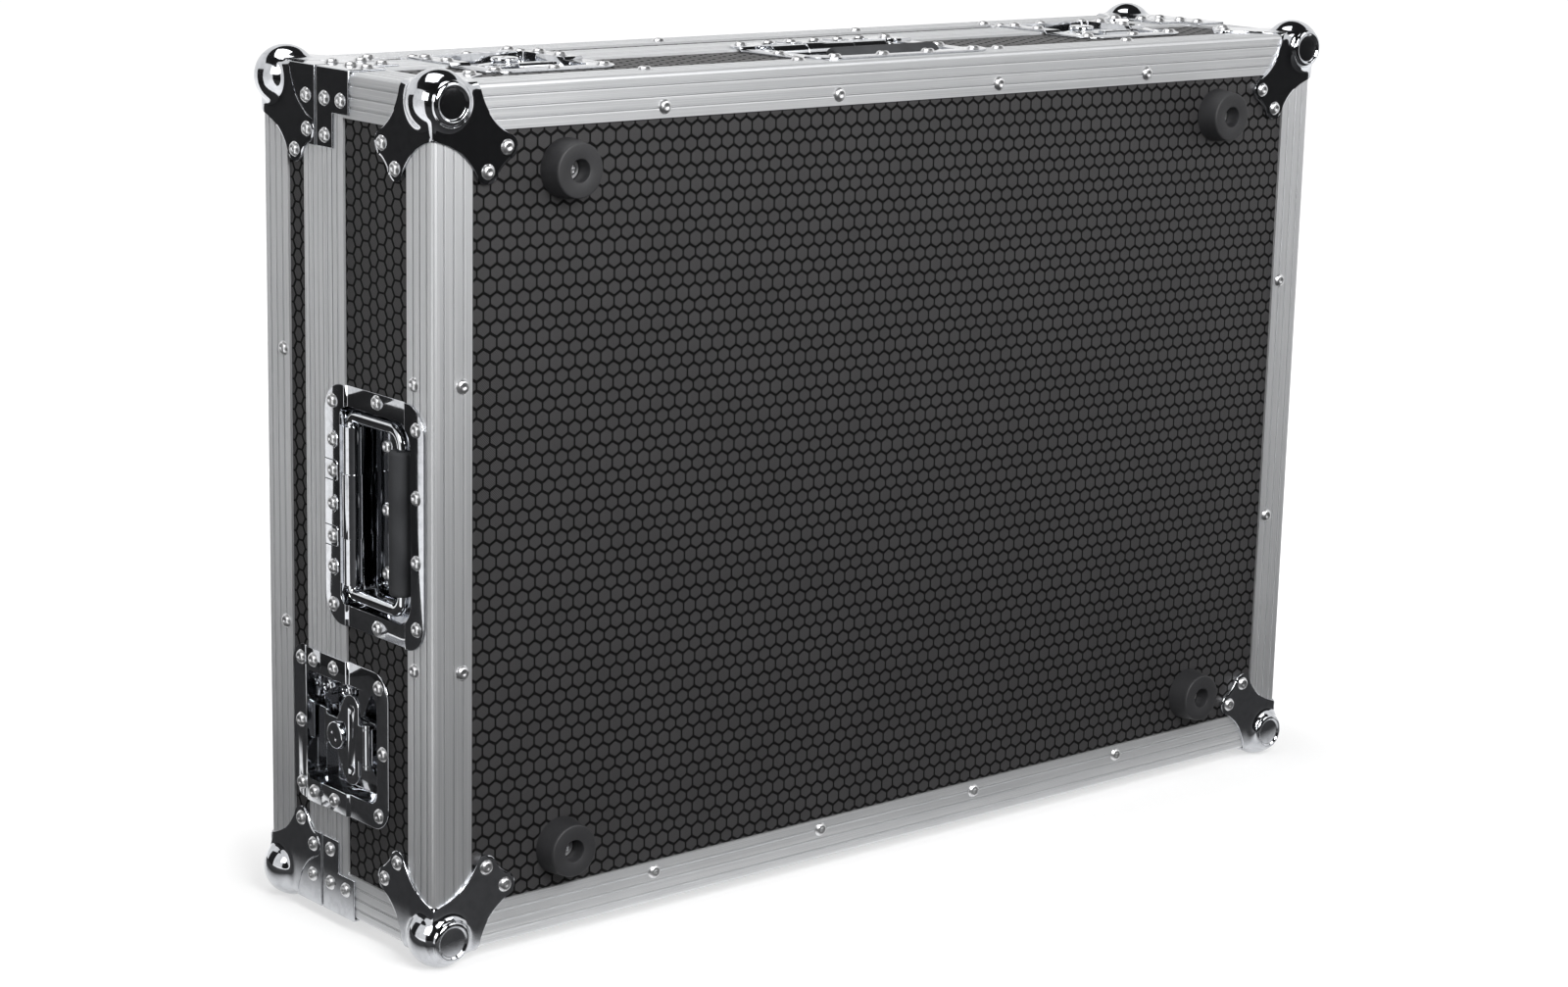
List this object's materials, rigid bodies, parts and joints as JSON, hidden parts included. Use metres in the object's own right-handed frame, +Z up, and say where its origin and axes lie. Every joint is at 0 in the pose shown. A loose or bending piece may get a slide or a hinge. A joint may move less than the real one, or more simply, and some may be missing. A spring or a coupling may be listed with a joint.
{
  "type": "flight case",
  "caption": "Flat flight case for a DJ controller, with ball corners, aluminium edges, sunken sprung handles, turn latches, a lift-off lid and rubber feet.",
  "frame": {"origin": "centre of the bounding box's underside, on the floor under the case as it stands on its rear long side", "axes": "+X along the case to the right of someone facing the feet, +Y from the base with the rubber feet towards the lid, +Z up, towards the front side with its handle and two latches"},
  "size_m": [0.845, 0.225, 0.595],
  "materials": {
    "aluminium_extrusion": "satin",
    "laminate_panel": "satin",
    "chromed_steel": "polished",
    "rivet_steel": "satin",
    "zinc_steel": "satin",
    "foot_rubber": "matte",
    "grip_rubber": "matte",
    "foam": "matte"
  },
  "bodies": {
    "base": {"base_angles": "aluminium_extrusion", "base_ball_corners": "chromed_steel", "base_bottom_panel": "laminate_panel", "base_floor_foam": "foam", "base_front_panel": "laminate_panel", "base_left_panel": "laminate_panel", "base_rear_panel": "laminate_panel", "base_right_panel": "laminate_panel", "base_rim_brackets": "chromed_steel", "base_rim_channels": "aluminium_extrusion", "base_rivets": "rivet_steel", "base_side_foam": "foam", "foot_screws": "zinc_steel", "foot_washers": "zinc_steel", "front_handle_dish": "chromed_steel", "front_handle_spring": "zinc_steel", "front_left_latch_dish": "chromed_steel", "front_right_latch_dish": "chromed_steel", "left_handle_dish": "chromed_steel", "left_handle_spring": "zinc_steel", "left_latch_dish": "chromed_steel", "right_handle_dish": "chromed_steel", "right_handle_spring": "zinc_steel", "right_latch_dish": "chromed_steel", "rubber_feet": "foot_rubber"},
    "lid": {"front_left_latch_keeper": "chromed_steel", "front_right_latch_keeper": "chromed_steel", "left_latch_keeper": "chromed_steel", "lid_angles": "aluminium_extrusion", "lid_ball_corners": "chromed_steel", "lid_foam_pad": "foam", "lid_front_panel": "laminate_panel", "lid_left_panel": "laminate_panel", "lid_rear_panel": "laminate_panel", "lid_right_panel": "laminate_panel", "lid_rim_brackets": "chromed_steel", "lid_rim_tongues": "aluminium_extrusion", "lid_rivets": "rivet_steel", "lid_top_panel": "laminate_panel", "right_latch_keeper": "chromed_steel"},
    "front_bail": {"front_handle_bail": "chromed_steel", "front_handle_grip": "grip_rubber"},
    "front_left_hook": {"front_left_latch_hook": "chromed_steel"},
    "front_left_turntable": {"front_left_latch_turntable": "chromed_steel"},
    "front_left_wing": {"front_left_latch_wing": "chromed_steel"},
    "front_right_hook": {"front_right_latch_hook": "chromed_steel"},
    "front_right_turntable": {"front_right_latch_turntable": "chromed_steel"},
    "front_right_wing": {"front_right_latch_wing": "chromed_steel"},
    "left_bail": {"left_handle_bail": "chromed_steel", "left_handle_grip": "grip_rubber"},
    "left_hook": {"left_latch_hook": "chromed_steel"},
    "left_turntable": {"left_latch_turntable": "chromed_steel"},
    "left_wing": {"left_latch_wing": "chromed_steel"},
    "right_bail": {"right_handle_bail": "chromed_steel", "right_handle_grip": "grip_rubber"},
    "right_hook": {"right_latch_hook": "chromed_steel"},
    "right_turntable": {"right_latch_turntable": "chromed_steel"},
    "right_wing": {"right_latch_wing": "chromed_steel"}
  },
  "joints": [
    {"name": "lid_lift_off", "type": "slide", "parent": "base", "child": "lid", "axis": [0, 1, 0], "range_m": [0, 0.15]},
    {"name": "left_handle_swing", "type": "hinge", "parent": "base", "child": "left_bail", "pos_m": [-0.4075, 0.004, 0.2975], "axis": [0, 0, -1], "range_deg": [0, 95], "stiffness_Nm_per_rad": 0.3, "springref_deg": -17.19},
    {"name": "right_handle_swing", "type": "hinge", "parent": "base", "child": "right_bail", "pos_m": [0.4075, 0.004, 0.2975], "axis": [0, 0, 1], "range_deg": [0, 95], "stiffness_Nm_per_rad": 0.3, "springref_deg": -17.19},
    {"name": "front_handle_swing", "type": "hinge", "parent": "base", "child": "front_bail", "pos_m": [0, 0.004, 0.58], "axis": [-1, 0, 0], "range_deg": [0, 95], "stiffness_Nm_per_rad": 0.3, "springref_deg": -17.19},
    {"name": "left_latch_turn", "type": "hinge", "parent": "base", "child": "left_turntable", "pos_m": [-0.4095, 0.0045, 0.136], "axis": [-1, 0, 0], "range_deg": [0, 180]},
    {"name": "left_hook_draw", "type": "slide", "parent": "base", "child": "left_hook", "axis": [0.4614, -0.8872, 0], "range_m": [0, 0.00564]},
    {"name": "left_wing_fold", "type": "hinge", "parent": "left_turntable", "child": "left_wing", "pos_m": [-0.4108, -0.0175, 0.136], "axis": [0, 0, 1], "range_deg": [0, 90]},
    {"name": "right_latch_turn", "type": "hinge", "parent": "base", "child": "right_turntable", "pos_m": [0.4095, 0.0045, 0.136], "axis": [1, 0, 0], "range_deg": [0, 180]},
    {"name": "right_hook_draw", "type": "slide", "parent": "base", "child": "right_hook", "axis": [-0.4614, -0.8872, 0], "range_m": [0, 0.00564]},
    {"name": "right_wing_fold", "type": "hinge", "parent": "right_turntable", "child": "right_wing", "pos_m": [0.4108, -0.0175, 0.136], "axis": [0, 0, -1], "range_deg": [0, 90]},
    {"name": "front_left_latch_turn", "type": "hinge", "parent": "base", "child": "front_left_turntable", "pos_m": [-0.275, 0.0045, 0.582], "axis": [0, 0, 1], "range_deg": [0, 180]},
    {"name": "front_left_hook_draw", "type": "slide", "parent": "base", "child": "front_left_hook", "axis": [0, -0.8872, -0.4614], "range_m": [0, 0.00564]},
    {"name": "front_left_wing_fold", "type": "hinge", "parent": "front_left_turntable", "child": "front_left_wing", "pos_m": [-0.275, -0.0175, 0.5833], "axis": [1, 0, 0], "range_deg": [0, 90]},
    {"name": "front_right_latch_turn", "type": "hinge", "parent": "base", "child": "front_right_turntable", "pos_m": [0.275, 0.0045, 0.582], "axis": [0, 0, 1], "range_deg": [0, 180]},
    {"name": "front_right_hook_draw", "type": "slide", "parent": "base", "child": "front_right_hook", "axis": [0, -0.8872, -0.4614], "range_m": [0, 0.00564]},
    {"name": "front_right_wing_fold", "type": "hinge", "parent": "front_right_turntable", "child": "front_right_wing", "pos_m": [0.275, -0.0175, 0.5833], "axis": [1, 0, 0], "range_deg": [0, 90]}
  ],
  "couplings": [
    {"joint": "left_hook_draw", "follows": "left_latch_turn", "m_per_rad": 0.0017939},
    {"joint": "right_hook_draw", "follows": "right_latch_turn", "m_per_rad": 0.0017939},
    {"joint": "front_left_hook_draw", "follows": "front_left_latch_turn", "m_per_rad": 0.0017939},
    {"joint": "front_right_hook_draw", "follows": "front_right_latch_turn", "m_per_rad": 0.0017939}
  ]
}
